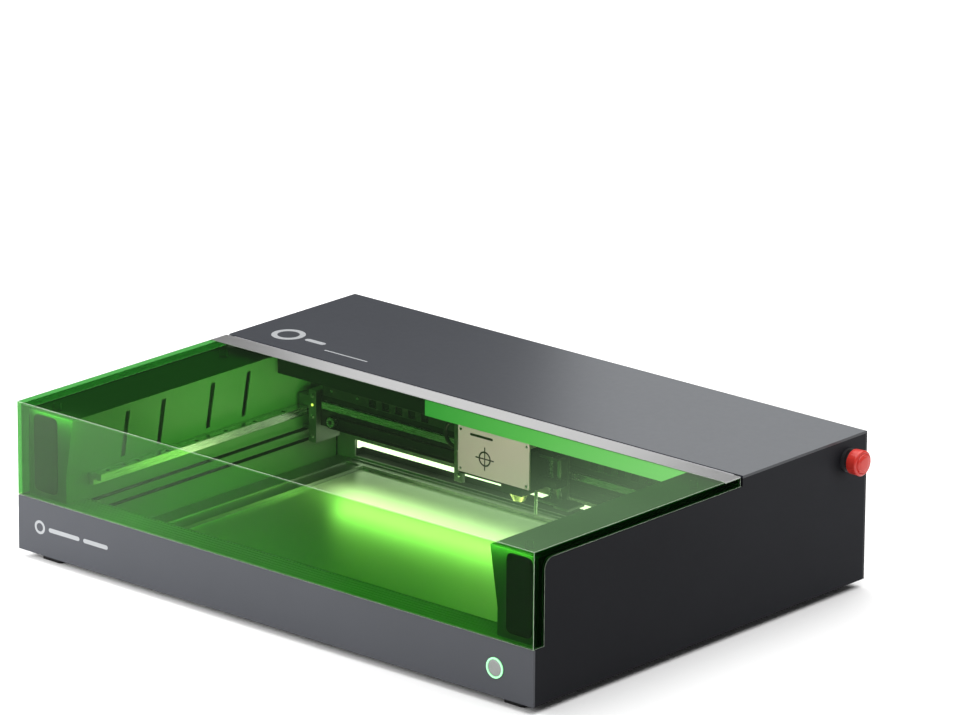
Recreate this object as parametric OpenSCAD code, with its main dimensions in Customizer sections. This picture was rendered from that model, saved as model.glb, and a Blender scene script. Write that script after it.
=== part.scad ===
// Desktop laser cutter: an enclosed flat-bed machine with a clear front lid.
// Drawn about the middle of its case (+X right, +Y rear, +Z up), then moved by
// placed() so that the middle of the whole machine's footprint is the origin.

/* [Case] */
// Width of the case over its side faces
case_w = 765; // [750:1:790]
// Depth of the case, front face to rear face
case_d = 561; // [555:1:575]
// Height from the table to the top of the hood
case_h = 183; // [183:1:195]
// Thickness of the panels, the hood and the lid
skin = 3; // [2.5:0.1:3.2]
// Height of the rubber feet
foot_h = 9.5; // [8:0.5:10]
// Height of the seam between the front panel and the lid
seam_z = 73.4; // [72.8:0.1:74]

/* [Lid] */
// Distance of the hinge line behind the middle of the case
hinge_y = 61.75; // [60:0.25:63]
// Depth of the side flanges below the top of the lid
flange_h = 12.2; // [11:0.1:13]
// Depth of the side flanges behind the front of the lid
flange_d = 17.8; // [16:0.1:19]
// Width of the metal strip along the hinge
strip_w = 26.1; // [20:0.1:30]

/* [Work area] */
// Half of the width between the lower inner walls
wall_x = 320; // [318:1:322]
// Travel of the gantry from its parking place to the front
y_travel = 305; // [250:1:305]
// Height of the top of the bed plate
bed_z = 21; // [19:0.5:22]

/* [Drive] */
// Radius under the teeth of every belt pulley
pulley_r = 6; // [5:0.1:6]
// Thickness of the toothed belts
belt_t = 1.4; // [1:0.1:1.4]
// Radial running clearance of shafts, pins and rods
run_fit = 0.05; // [0.02:0.01:0.08]

/* [Controls] */
// Reach of the emergency stop beyond the right side face
estop_out = 24; // [22:0.5:26]
// Reach of the power button beyond the front face
button_out = 1.2; // [1:0.1:2]
// Reach of the exhaust spigot beyond the rear face
duct_out = 20; // [18:1:30]

/* [Hidden] */
$fn = 64;

// Case
half_w = case_w / 2;
in_x = half_w - skin;
front_y = -case_d / 2;
rear_y = case_d / 2;
in_front = front_y + skin;
in_rear = rear_y - skin;
roof = case_h - skin;
floor_z = foot_h + skin;
case_x = -estop_out / 2;
case_y = -(duct_out - button_out) / 2;

// Lid and hinge
lid_rear = hinge_y - 2.05;
hood_front = hinge_y + 2.25;
hinge_z = case_h - 1.7;
knuckle_r = 1.5;
pin_r = 0.8;
hinge_segments = 8;
hinge_span = 744;
segment_l = hinge_span / hinge_segments;
ledge_z = case_h - flange_h;
post_y = front_y + flange_d;
corner_r = 12;
lid_gap = 0.5;
strip_t = 1.2;

// Inner walls
casing_top = 172;
casing_t = 2;
casing_out = 376.5;
casing_in_top = 309;
bend_z = 104;
casing_front = -267;
casing_rear = 178;
apron_z = 151.5;
bay_y = 180;
sill_rear = -238.5;

// Y drive
belt_z = 63.5;
gantry_front = 108;
rail_front = gantry_front - y_travel - 35;
idler_y = rail_front + 4;
shaft_y = 218;
shaft_r = 4;
belt_x0 = 310.5;
belt_x1 = 316.5;
rail_top = 103;
rail_bottom = 95;
rail_x0 = 300;
rail_x1 = 312;
slide_gap = 0.4;

// Gantry
beam_y0 = 116;
beam_y1 = 138;
beam_z0 = 81;
beam_z1 = 118;
beam_x = 287;
xbelt_z = 90;
xpulley_x = 266;
xbelt_y0 = 109.3;
xbelt_y1 = 114.7;
motor_w = 35;
pin_rad = 2.45;
axle_r = 2.5;

// Head
head_x0 = -35;
head_x1 = 71;
cover_y = 70;
module_y0 = 72;
module_y1 = 101.5;
module_z0 = 91;
module_z1 = 121;
tower_z = 82;
nozzle_z = 72;
cover_z1 = 148;
plate_z0 = 81;
plate_z1 = 148;
leg_z = 66;
bracket_t = 3;
low_bracket = 78;
high_bracket = 131;
zmotor_z = high_bracket + bracket_t;
plate_y0 = 102;
plate_y1 = 106;
plate_x0 = -69;
plate_x1 = 100;
screw_x = 82;
rod_x = 94;
screw_y = 95;
screw_r = 3;
nozzle_x = 42;
nozzle_y = 87;
probe_x = 66;
probe_y = 88;
probe_r = 2;
lens_r = 5.5;
fan_x = 18;
fan_z = module_z1 + 18.5;

// Rear bay
duct_x = -215;
duct_z = 105;
duct_r = 37.5;
inlet_x = 215;
inlet_z = 54;
rocker_y = 277;
rocker_z = inlet_z + 10.5;
rocker_pin = 1.5;
usb_x = 70;
usb_z = 140;

// Controls
button_x = 329;
button_z = 41.5;
button_r = 9.7;
estop_y = 247;
estop_z = 157;
estop_r = 14.75;
stem_r = 6;
sleeve_r = 8;

// A box between two corners.
module block(lo, hi) {
    translate(lo) cube(hi - lo);
}

// Cylinders along X, Y and Z.
module rod_x(x0, x1, y, z, r) {
    translate([x0, y, z]) rotate([0, 90, 0]) cylinder(h = x1 - x0, r = r);
}
module rod_y(y0, y1, x, z, r) {
    translate([x, y0, z]) rotate([-90, 0, 0]) cylinder(h = y1 - y0, r = r);
}
module rod_z(z0, z1, x, y, r) {
    translate([x, y, z0]) cylinder(h = z1 - z0, r = r);
}

// An outline in Y and Z, extruded along X.
module along_x(x0, x1) {
    translate([x0, 0, 0]) rotate([90, 0, 90]) linear_extrude(x1 - x0) children();
}

// An outline in X and Z, extruded along Y.
module along_y(y0, y1) {
    translate([0, y1, 0]) rotate([90, 0, 0]) linear_extrude(y1 - y0) children();
}

// The same shape on the right and on the left.
module both_sides() {
    children();
    mirror([1, 0, 0]) children();
}

// A flat outline with round ends between two points on one level.
module stadium(a0, a1, b, r) {
    translate([a0, b - r]) square([a1 - a0, 2 * r]);
    translate([a0, b]) circle(r);
    translate([a1, b]) circle(r);
}

// A toothed belt's closed loop, as a flat outline.
module belt_outline(a0, a1, b) {
    difference() {
        stadium(a0, a1, b, pulley_r + belt_t);
        stadium(a0, a1, b, pulley_r);
    }
}

// A rounded rectangle, as a flat outline.
module round_rect(w, d, r) {
    square([w - 2 * r, d], center = true);
    square([w, d - 2 * r], center = true);
    for (sx = [-1, 1], sy = [-1, 1])
        translate([sx * (w / 2 - r), sy * (d / 2 - r)]) circle(r);
}

// The space that the lid takes from the sides of the case, grown by a gap.
module lid_outline(gap, rear) {
    far = 20;
    low = seam_z - gap;
    corner_y = post_y + gap;
    corner_z = ledge_z - gap;
    difference() {
        union() {
            translate([front_y - far, corner_z]) square([rear - front_y + far, flange_h + far]);
            translate([front_y - far, low]) square([corner_y - front_y + far, case_h - low + far]);
            translate([corner_y, corner_z - corner_r]) square(corner_r);
        }
        translate([corner_y + corner_r, corner_z - corner_r]) circle(corner_r);
    }
}

// ---- Case ----

module base_pan() {
    slots = 9;
    color([0.16, 0.165, 0.175]) difference() {
        union() {
            block([-in_x, in_front, foot_h], [in_x, in_rear, floor_z]);
            both_sides() block([in_x - 2, in_front, floor_z], [in_x, in_rear, floor_z + 14]);
        }
        for (i = [0 : slots - 1])
            translate([-120 + i * 30, 250, foot_h - 1]) cube([3.5, 22, skin + 2]);
    }
}

module feet() {
    foot_x = 344;
    foot_w = 30;
    foot_d = 26;
    inset = 25.5;
    color([0.06, 0.06, 0.065]) for (sx = [-1, 1], y = [front_y + inset, rear_y - inset])
        translate([sx * foot_x, y, 0]) linear_extrude(foot_h) round_rect(foot_w, foot_d, 4);
}

module front_panel() {
    color([0.36, 0.37, 0.39]) difference() {
        block([-half_w, front_y, foot_h], [half_w, in_front, seam_z - 0.3]);
        rod_y(front_y - 1, in_front + 1, button_x, button_z, button_r + 0.8);
    }
}

module side_panel() {
    color([0.2, 0.205, 0.215]) along_x(in_x, half_w) difference() {
        translate([in_front, foot_h]) square([in_rear - in_front, roof - foot_h]);
        lid_outline(0, hood_front - 0.2);
    }
}

module left_side_panel() {
    mirror([1, 0, 0]) side_panel();
}

module right_side_panel() {
    difference() {
        side_panel();
        rod_x(in_x - 1, half_w + 1, estop_y, estop_z, sleeve_r + 0.2);
    }
}

module rear_panel() {
    color([0.22, 0.225, 0.235]) difference() {
        block([-half_w, in_rear, foot_h], [half_w, rear_y, roof]);
        rod_y(in_rear - 1, rear_y + 1, duct_x, duct_z, duct_r - 2.5);
        block([inlet_x - 22, in_rear - 1, inlet_z - 24], [inlet_x + 22, rear_y + 1, inlet_z + 24]);
        block([usb_x - 8, in_rear - 1, usb_z - 7.5], [usb_x + 8, rear_y + 1, usb_z + 7.5]);
        screw_places() rod_y(in_rear - 1, rear_y + 1, 0, 0, 1.5);
    }
}

module hood() {
    edge_r = 2;
    color([0.42, 0.43, 0.45]) {
        along_x(-half_w, half_w) {
            translate([hood_front, roof]) square([rear_y - edge_r - hood_front, skin]);
            translate([rear_y - edge_r, roof]) square([edge_r, skin - edge_r]);
            intersection() {
                translate([rear_y - edge_r, case_h - edge_r]) circle(edge_r);
                translate([rear_y - edge_r, case_h - edge_r]) square(edge_r);
            }
        }
        block([-in_x + 0.3, hood_front + 1, casing_top], [in_x - 0.3, hood_front + 3.5, roof]);
        block([-casing_in_top + 2, hood_front + 1, apron_z],
            [casing_in_top - 2, hood_front + 3.5, casing_top]);
    }
}

// ---- Inner walls, bed and lights ----

module casing_outline(inset) {
    polygon([[wall_x + inset, floor_z], [wall_x + inset, bend_z],
        [casing_in_top + inset, casing_top - inset], [casing_out - inset, casing_top - inset],
        [casing_out - inset, floor_z]]);
}

module inner_casings() {
    grooves = [-177, -119, -38.5, 20.7];
    groove_w = 7;
    color([0.25, 0.26, 0.27]) both_sides() difference() {
        along_y(casing_front, casing_rear) casing_outline(0);
        along_y(casing_front + casing_t, casing_rear + 1) difference() {
            casing_outline(casing_t);
            translate([0, floor_z - 1]) square([casing_out, 0.5]);
        }
        for (y = grooves)
            block([casing_in_top - 10, y - groove_w / 2, 107], [wall_x + 4, y + groove_w / 2, 163]);
    }
}

module rear_inner_wall() {
    vents = 6;
    color([0.25, 0.26, 0.27]) difference() {
        block([-wall_x + 0.5, bay_y, floor_z], [wall_x - 0.5, bay_y + 2, casing_top]);
        block([-292, bay_y - 1, 27], [292, bay_y + 3, 47]);
        both_sides() block([308.5, bay_y - 1, 54], [wall_x + 1, bay_y + 3, 73]);
        for (i = [0 : vents - 1])
            block([-285, bay_y - 1, 128 + 6.5 * i], [-145, bay_y + 3, 131.5 + 6.5 * i]);
    }
}

module front_sill() {
    ribs = 6;
    rib_gap = 6;
    rib_y = casing_front;
    color([0.3, 0.31, 0.32]) {
        block([-in_x, in_front, 70], [in_x, casing_front - 0.5, seam_z - 0.9]);
        block([-wall_x + 0.5, casing_front - 0.5, 70], [wall_x - 0.5, sill_rear, seam_z - 1.4]);
        block([-wall_x + 0.5, sill_rear - 1.5, floor_z], [wall_x - 0.5, sill_rear, 70]);
        for (i = [0 : ribs - 1])
            block([-wall_x + 2, rib_y + rib_gap * i, 71],
                [wall_x - 2, rib_y + rib_gap * i + 1, seam_z - 1]);
    }
}

module bed_frame() {
    outer_x = wall_x - 1.5;
    seat_x = 265;
    seat_front = -222;
    seat_rear = 164;
    color([0.5, 0.51, 0.52]) difference() {
        union() {
            block([-outer_x, sill_rear + 0.5, floor_z], [outer_x, bay_y - 0.5, bed_z + 2]);
            for (x = [seat_x, 290])
                both_sides() block([x, seat_front, bed_z + 2], [x + 3, seat_rear, bed_z + 4]);
            for (y = [seat_rear, seat_rear + 12])
                block([-293, y, bed_z + 2], [293, y + 2, bed_z + 4]);
        }
        block([-seat_x, seat_front, bed_z - 3], [seat_x, seat_rear, bed_z + 5]);
        block([-seat_x + 7, seat_front + 7, floor_z - 1], [seat_x - 7, seat_rear - 7, bed_z]);
    }
}

module bed_plate() {
    color([0.72, 0.73, 0.74]) block([-264.5, -221.5, bed_z - 3], [264.5, 163.5, bed_z]);
}

module lower_light_bar() {
    color([0.2, 0.2, 0.21]) difference() {
        block([-294, bay_y + 2, 25], [294, bay_y + 16, 49]);
        block([-292, bay_y + 1, 27], [292, bay_y + 14, 47]);
    }
}

module lower_light_tube() {
    color([0.95, 1, 0.9]) {
        rod_x(-290, 290, bay_y + 8, 41.5, 3.6);
        both_sides() block([290, bay_y + 4, 36], [292, bay_y + 13, 46.5]);
    }
}

module upper_light_bar() {
    color([0.7, 0.9, 0.7])
        block([-77, hood_front - 3, apron_z + 0.3], [305, hood_front + 1, casing_top - 1]);
}

// ---- Y drive ----

module y_rails() {
    color([0.8, 0.81, 0.82]) both_sides() {
        block([rail_x0, rail_front, rail_bottom], [rail_x1, casing_rear, rail_top]);
        block([rail_x1, rail_front, 88], [wall_x, casing_rear, 101]);
    }
}

module y_belts() {
    color([0.05, 0.05, 0.05]) both_sides()
        along_x(belt_x0, belt_x1) belt_outline(idler_y, shaft_y, belt_z);
}

module y_motor() {
    motor = 42;
    color([0.1, 0.1, 0.1]) difference() {
        block([-25, shaft_y - motor / 2, belt_z - motor / 2], [25, shaft_y + motor / 2,
            belt_z + motor / 2]);
        rod_x(-26, 26, shaft_y, belt_z, shaft_r + run_fit);
    }
    color([0.4, 0.4, 0.42])
        block([-20, shaft_y - 14, floor_z], [20, shaft_y + 14, belt_z - motor / 2]);
}

module belt_bearings() {
    color([0.6, 0.61, 0.63]) both_sides() {
        difference() {
            block([296, shaft_y - 8, floor_z], [304, shaft_y + 8, belt_z + 10]);
            rod_x(295, 305, shaft_y, belt_z, shaft_r + run_fit);
        }
        rod_x(309.5, wall_x, idler_y, belt_z, pin_rad);
    }
}

module y_cross_shaft() {
    tread = pulley_r - run_fit;
    color([0.75, 0.75, 0.77]) {
        rod_x(-318, 318, shaft_y, belt_z, shaft_r);
        both_sides() {
            rod_x(309, 310, shaft_y, belt_z, 8);
            rod_x(310, 317, shaft_y, belt_z, tread);
            rod_x(317, 318, shaft_y, belt_z, 8);
        }
    }
}

module y_idlers() {
    tread = pulley_r - run_fit;
    color([0.75, 0.75, 0.77]) both_sides() difference() {
        rod_x(310, 317, idler_y, belt_z, tread);
        rod_x(309, 318, idler_y, belt_z, pin_rad + run_fit);
    }
}

// ---- Rear bay ----

module exhaust_fan_housing() {
    frame_y = 252;
    half = 40;
    struts = 3;
    color([0.08, 0.08, 0.085]) {
        difference() {
            block([duct_x - half, frame_y, duct_z - half], [duct_x + half, in_rear, duct_z + half]);
            rod_y(frame_y - 1, in_rear + 1, duct_x, duct_z, 37);
        }
        rod_y(frame_y + 21, in_rear - 0.5, duct_x, duct_z, 12);
        rod_y(frame_y + 3, frame_y + 21, duct_x, duct_z, 2);
        for (i = [0 : struts - 1])
            translate([duct_x, 0, duct_z]) rotate([0, 120 * i, 0])
                block([10, frame_y + 22, -1.5], [38, in_rear - 0.5, 1.5]);
    }
}

module exhaust_rotor() {
    blades = 7;
    color([0.12, 0.12, 0.125]) difference() {
        union() {
            rod_y(256, 271, duct_x, duct_z, 14);
            for (i = [0 : blades - 1])
                translate([duct_x, 263.5, duct_z]) rotate([0, 360 / blades * i, 0])
                    rotate([35, 0, 0]) block([12, -0.8, -9], [34.5, 0.8, 9]);
        }
        rod_y(250, 275, duct_x, duct_z, 2 + run_fit);
    }
}

module duct_spigot() {
    color([0.1, 0.1, 0.105]) difference() {
        union() {
            rod_y(rear_y, rear_y + duct_out, duct_x, duct_z, duct_r);
            rod_y(rear_y, rear_y + 2.5, duct_x, duct_z, duct_r + 8);
        }
        rod_y(rear_y - 1, rear_y + duct_out + 1, duct_x, duct_z, duct_r - 2.5);
    }
}

module power_supply() {
    color([0.62, 0.63, 0.65]) {
        block([-90, 242, floor_z], [110, 273, 60]);
        block([110, 246, floor_z], [118, 269, 34]);
    }
}

module main_board() {
    board_y = 270;
    color([0.08, 0.3, 0.16]) {
        block([-120, board_y, 80], [100, board_y + 1.6, 160]);
        block([-100, board_y - 12, 86], [-60, board_y, 126]);
        block([-40, board_y - 8, 96], [-10, board_y, 126]);
        for (i = [0 : 3])
            block([10 + 22 * i, board_y - 10, 86], [26 + 22 * i, board_y, 98]);
        for (x = [-112, 92], z = [86, 154])
            rod_y(board_y + 1.6, in_rear, x, z, 3);
    }
    color([0.7, 0.7, 0.72]) difference() {
        block([usb_x - 8, board_y + 1.6, usb_z - 7.5], [usb_x + 8, rear_y, usb_z + 7.5]);
        block([usb_x - 6.1, board_y + 2.6, usb_z - 5.4], [usb_x + 6.1, rear_y + 1, usb_z + 5.4]);
    }
}

module power_inlet() {
    flange = 2;
    color([0.07, 0.07, 0.075]) {
        difference() {
            union() {
                block([inlet_x - 22, 258, inlet_z - 24], [inlet_x + 22, rear_y, inlet_z + 24]);
                block([inlet_x - 25, rear_y, inlet_z - 27], [inlet_x + 25, rear_y + flange,
                    inlet_z + 27]);
            }
            block([inlet_x - 12, 264, inlet_z - 19], [inlet_x + 12, rear_y + 3, inlet_z - 3]);
            block([inlet_x - 10.5, 266, inlet_z + 3], [inlet_x + 10.5, rear_y + 3, inlet_z + 18]);
            rod_x(inlet_x - 12.5, inlet_x + 12.5, rocker_y, rocker_z, rocker_pin + run_fit);
        }
    }
    color([0.85, 0.82, 0.7]) for (p = [[-7, -12], [0, -9], [7, -12]])
        block([inlet_x + p[0] - 1, 264, inlet_z + p[1] - 2], [inlet_x + p[0] + 1, rear_y - 2,
            inlet_z + p[1] + 2]);
}

module rocker_switch() {
    tilt = 10;
    color([0.12, 0.12, 0.12]) {
        translate([inlet_x, rocker_y, rocker_z]) rotate([-tilt, 0, 0])
            along_x(-9.8, 9.8) polygon([[-4, -4], [5, -6.4], [3.4, 0], [5, 6.4], [-4, 4]]);
        rod_x(inlet_x - 12, inlet_x + 12, rocker_y, rocker_z, rocker_pin);
    }
}

// Puts a shape at each screw of the rear panel.
module screw_places() {
    for (x = [-360, -120, 120, 360], z = [22, 170])
        translate([x, 0, z]) children();
}

module panel_screws() {
    color([0.12, 0.12, 0.125]) screw_places() difference() {
        union() {
            rod_y(rear_y, rear_y + 1.6, 0, 0, 3.2);
            rod_y(in_rear - 2, rear_y, 0, 0, 1.5);
        }
        translate([0, rear_y + 0.6, 0]) rotate([-90, 0, 0]) cylinder(h = 2, r = 1.3, $fn = 6);
    }
}

// ---- Controls ----

module button_ring() {
    color([0.5, 0.95, 0.55]) difference() {
        union() {
            rod_y(front_y - button_out, front_y, button_x, button_z, 11.5);
            rod_y(front_y, front_y + 12, button_x, button_z, button_r + 0.8);
        }
        rod_y(front_y - 3, front_y + 13, button_x, button_z, button_r);
    }
}

module power_button() {
    color([0.8, 0.81, 0.82])
        rod_y(front_y - button_out + 0.2, front_y + 10.5, button_x, button_z, button_r - run_fit);
}

module estop_collar() {
    color([0.05, 0.05, 0.055]) difference() {
        union() {
            rod_x(half_w, half_w + 3.5, estop_y, estop_z, 13.5);
            rod_x(half_w + 3.5, half_w + 11, estop_y, estop_z, 9);
            rod_x(half_w - 14, half_w, estop_y, estop_z, sleeve_r);
        }
        rod_x(half_w - 15, half_w + 12, estop_y, estop_z, stem_r + run_fit);
    }
}

module estop_stem() {
    color([0.3, 0.3, 0.31]) rod_x(half_w - 8, half_w + 18, estop_y, estop_z, stem_r);
}

module estop_cap() {
    back = half_w + 8;
    face = half_w + estop_out;
    color([0.85, 0.12, 0.1]) difference() {
        union() {
            rod_x(back, face - 4, estop_y, estop_z, estop_r);
            translate([face - 4, estop_y, estop_z]) rotate([0, 90, 0])
                cylinder(h = 2, r1 = estop_r, r2 = estop_r - 2);
            rod_x(face - 2, face - 0.8, estop_y, estop_z, estop_r - 4);
            rod_x(face - 0.8, face, estop_y, estop_z, estop_r - 5.5);
        }
        rod_x(back - 1, back + 8.5, estop_y, estop_z, 9.5);
        rod_x(back, back + 10.3, estop_y, estop_z, stem_r + run_fit);
    }
}

// ---- Lid and hinge ----

module lid_shell() {
    color([0.1, 0.6, 0.15, 0.5]) {
        block([-half_w, front_y, roof], [half_w, lid_rear - strip_w, case_h]);
        block([-half_w, lid_rear - strip_w, roof], [half_w, lid_rear, case_h - strip_t]);
        block([-half_w, front_y, seam_z + 0.3], [half_w, in_front, roof]);
        both_sides() along_x(in_x, half_w) intersection() {
            translate([front_y, seam_z + 0.3]) square([lid_rear - front_y, case_h - seam_z - 0.3
                - strip_t]);
            lid_outline(-lid_gap, lid_rear);
        }
    }
}

module hinge_strip() {
    color([0.75, 0.74, 0.74])
        block([-half_w, lid_rear - strip_w, case_h - strip_t], [half_w, lid_rear, case_h]);
}

// Every second length of hinge barrel, from the one called first.
module knuckles(first, bore) {
    for (i = [first : 2 : hinge_segments - 1]) {
        x0 = -hinge_span / 2 + i * segment_l + 0.3;
        x1 = x0 + segment_l - 0.6;
        difference() {
            union() {
                rod_x(x0, x1, hinge_y, hinge_z, knuckle_r);
                translate([x0, 0, 0]) children();
            }
            rod_x(x0 - 1, x1 + 1, hinge_y, hinge_z, bore);
        }
    }
}

module lid_hinge_leaf() {
    web = segment_l - 0.6;
    color([0.3, 0.3, 0.31]) {
        block([-hinge_span / 2, lid_rear - 18, roof - 1.1], [hinge_span / 2, lid_rear + 0.6, roof]);
        knuckles(1, pin_r + run_fit)
            block([0, lid_rear, roof - 0.5], [web, hinge_y - 0.6, hinge_z + 0.7]);
    }
}

module case_hinge_leaf() {
    web = segment_l - 0.6;
    face = hood_front - 0.4;
    color([0.3, 0.3, 0.31]) {
        block([-hinge_span / 2, face, casing_top], [hinge_span / 2, hood_front + 1, roof]);
        block([-hinge_span / 2, face, roof], [hinge_span / 2, hood_front, hinge_z + 0.7]);
        knuckles(0, pin_r)
            block([0, hinge_y + 0.6, roof + 0.5], [web, hood_front, hinge_z + 0.7]);
    }
}

module hinge_pin() {
    color([0.7, 0.7, 0.72]) rod_x(-hinge_span / 2, hinge_span / 2, hinge_y, hinge_z, pin_r);
}

module lid_bumpers() {
    color([0.05, 0.05, 0.05]) both_sides() for (y = [-250, 20])
        rod_z(casing_top, roof - 0.4, 350, y, 5);
}

// ---- Gantry ----

module x_beam() {
    wall = 3;
    color([0.13, 0.135, 0.14]) {
        difference() {
            block([-beam_x, beam_y0, beam_z0], [beam_x, beam_y1, beam_z1]);
            block([-beam_x - 1, beam_y0 + wall, beam_z0 + wall], [beam_x + 1, beam_y1 - wall,
                beam_z1 - wall]);
            rod_y(beam_y0 - 1, beam_y1 + 1, xpulley_x, xbelt_z, 4);
        }
        rod_y(108.4, beam_y0, -xpulley_x, xbelt_z, pin_rad);
    }
}

module gantry_end_plates() {
    plate_end = 148;
    plate_x = 298.5;
    color([0.3, 0.31, 0.32]) both_sides() {
        block([beam_x, gantry_front, 61], [plate_x, plate_end, 124]);
        block([plate_x, gantry_front, rail_top + slide_gap], [314.5, plate_end, 116]);
        block([plate_x, 118, belt_z + 7.8], [belt_x1, plate_end - 10, belt_z + 12]);
    }
}

module x_rail() {
    color([0.8, 0.81, 0.82]) block([-280, 110, 104], [280, beam_y0, 112]);
}

module x_belt() {
    color([0.05, 0.05, 0.05])
        along_y(xbelt_y0, xbelt_y1) belt_outline(-xpulley_x, xpulley_x, xbelt_z);
}

module x_motor() {
    color([0.08, 0.08, 0.085]) difference() {
        block([xpulley_x - motor_w / 2, beam_y1, xbelt_z - motor_w / 2],
            [xpulley_x + motor_w / 2, beam_y1 + 28, xbelt_z + motor_w / 2]);
        rod_y(beam_y1 - 1, beam_y1 + 12, xpulley_x, xbelt_z, axle_r + run_fit);
    }
}

module x_pulley() {
    tread = pulley_r - run_fit;
    color([0.75, 0.75, 0.77]) {
        rod_y(108, 109, xpulley_x, xbelt_z, 8);
        rod_y(109, 115, xpulley_x, xbelt_z, tread);
        rod_y(115, beam_y0 - 0.4, xpulley_x, xbelt_z, 8);
        rod_y(beam_y0 - 0.4, beam_y1 + 11, xpulley_x, xbelt_z, axle_r);
    }
}

module x_idler() {
    tread = pulley_r - run_fit;
    color([0.75, 0.75, 0.77]) difference() {
        rod_y(109, 115.5, -xpulley_x, xbelt_z, tread);
        rod_y(108, 116, -xpulley_x, xbelt_z, pin_rad + run_fit);
    }
}

module chain_tray() {
    tray_x0 = -284;
    tray_x1 = 284;
    wall = 1.2;
    windows = 5;
    window_x = 121;
    pitch = 20;
    window_w = 11;
    color([0.12, 0.125, 0.13]) difference() {
        block([tray_x0, beam_y0, beam_z1], [tray_x1, beam_y1, beam_z1 + 15]);
        block([tray_x0 - 1, beam_y0 + wall, beam_z1 + wall], [tray_x1 + 1, beam_y1 - wall,
            beam_z1 + 13.8]);
        both_sides() for (i = [0 : windows - 1])
            block([window_x + pitch * i, beam_y0 - 1, beam_z1 + wall],
                [window_x + pitch * i + window_w, beam_y0 + wall + 1, beam_z1 + 10.5]);
    }
}

// ---- Head ----

module head_carriage() {
    color([0.35, 0.36, 0.38]) difference() {
        union() {
            block([plate_x0, plate_y0, plate_z0], [plate_x1, plate_y1, plate_z1]);
            block([plate_x0, plate_y0, leg_z], [plate_x0 + 13, plate_y1, plate_z0]);
            for (z = [low_bracket, high_bracket])
                block([73, 84, z], [plate_x1, plate_y1, z + bracket_t]);
            block([plate_x1, 78, low_bracket], [122, plate_y1, low_bracket + bracket_t]);
            for (x = [[-28, 2], [60, 88]]) difference() {
                block([x[0], plate_y1, 99.5], [x[1], beam_y0 - slide_gap, 116.5]);
                block([x[0] - 1, 110 - slide_gap, 104 - slide_gap], [x[1] + 1, beam_y0 + 1,
                    112 + slide_gap]);
            }
            difference() {
                block([10, plate_y1, 92.5], [40, 114, 99.5]);
                block([9, xbelt_y0 - slide_gap, 95.6], [41, 115, 97.8]);
            }
        }
        rod_z(low_bracket - 1, plate_z0 + 1, screw_x, screw_y, screw_r + run_fit);
        rod_z(high_bracket - 1, zmotor_z + 1, screw_x, screw_y, screw_r + 0.5);
        rod_z(low_bracket - 1, zmotor_z + 1, rod_x, screw_y, screw_r);
    }
}

// A lead that leaves the edge of the plate and comes back to it lower down.
module cable_loop() {
    loop_r = 15;
    lead_r = 2.2;
    color([0.04, 0.04, 0.045])
        translate([plate_x0, (plate_y0 + plate_y1) / 2, 121]) rotate([90, 0, 0])
            intersection() {
                rotate_extrude() translate([loop_r, 0]) circle(lead_r);
                translate([-2 * loop_r, -2 * loop_r, -5]) cube([2 * loop_r, 4 * loop_r, 10]);
            }
}

module z_guide_rod() {
    color([0.82, 0.82, 0.84]) rod_z(low_bracket, zmotor_z, rod_x, screw_y, screw_r);
}

module z_motor() {
    color([0.1, 0.1, 0.105]) difference() {
        block([screw_x - 10, screw_y - 10, zmotor_z], [screw_x + 10, plate_y0, zmotor_z + 12]);
        rod_z(zmotor_z - 1, zmotor_z + 6, screw_x, screw_y, screw_r + run_fit);
    }
}

module z_screw() {
    color([0.78, 0.78, 0.8]) rod_z(low_bracket - 4, zmotor_z + 5, screw_x, screw_y, screw_r);
}

module laser_body() {
    color([0.1, 0.105, 0.11]) difference() {
        union() {
            block([head_x0, module_y0, module_z0], [head_x1, module_y1, module_z1]);
            block([head_x1, 84, 98], [99, module_y1, 106]);
            block([nozzle_x - 16, 74, tower_z], [nozzle_x + 15, 100, module_z0]);
        }
        rod_z(97, 107, screw_x, screw_y, screw_r + run_fit);
        rod_z(97, 107, rod_x, screw_y, screw_r + run_fit);
        rod_z(module_z0 - 1, 113, probe_x, probe_y, probe_r + run_fit);
        rod_z(tower_z - 1, 112, nozzle_x, nozzle_y, 3);
    }
}

module laser_cover() {
    color([0.72, 0.71, 0.66]) {
        block([head_x0, cover_y, 94], [head_x1, module_y0, cover_z1]);
        for (x = [head_x0, head_x1 - 2])
            block([x, module_y0, cover_z1 - 6], [x + 2, module_y1 - 0.5, cover_z1]);
    }
}

module heat_sink() {
    fins = 13;
    fin_t = 2;
    gap = (head_x1 - head_x0 - fin_t) / (fins - 1);
    color([0.2, 0.2, 0.21]) {
        block([head_x0, module_y0, module_z1], [head_x1, module_y1, module_z1 + 5]);
        for (i = [0 : fins - 1])
            block([head_x0 + gap * i, module_y0, module_z1 + 5],
                [head_x0 + gap * i + fin_t, module_y1, module_z1 + 17]);
        rod_z(module_z1 + 5, fan_z + 6.5, fan_x, nozzle_y, 2);
    }
}

module module_fan() {
    blades = 7;
    color([0.07, 0.07, 0.075]) difference() {
        union() {
            rod_z(fan_z, fan_z + 5, fan_x, nozzle_y, 6);
            for (i = [0 : blades - 1])
                translate([fan_x, nozzle_y, fan_z + 2.5]) rotate([0, 0, 360 / blades * i])
                    rotate([30, 0, 0]) block([5, -2.2, -0.4], [13, 2.2, 0.4]);
        }
        rod_z(fan_z - 1, fan_z + 6, fan_x, nozzle_y, 2 + run_fit);
    }
}

module nozzle() {
    color([0.75, 0.72, 0.6]) difference() {
        translate([nozzle_x, nozzle_y, nozzle_z]) cylinder(h = tower_z - nozzle_z, r1 = 7, r2 = 12);
        rod_z(nozzle_z - 1, nozzle_z + 5, nozzle_x, nozzle_y, 2);
        rod_z(nozzle_z + 4, tower_z + 1, nozzle_x, nozzle_y, lens_r);
    }
}

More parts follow.
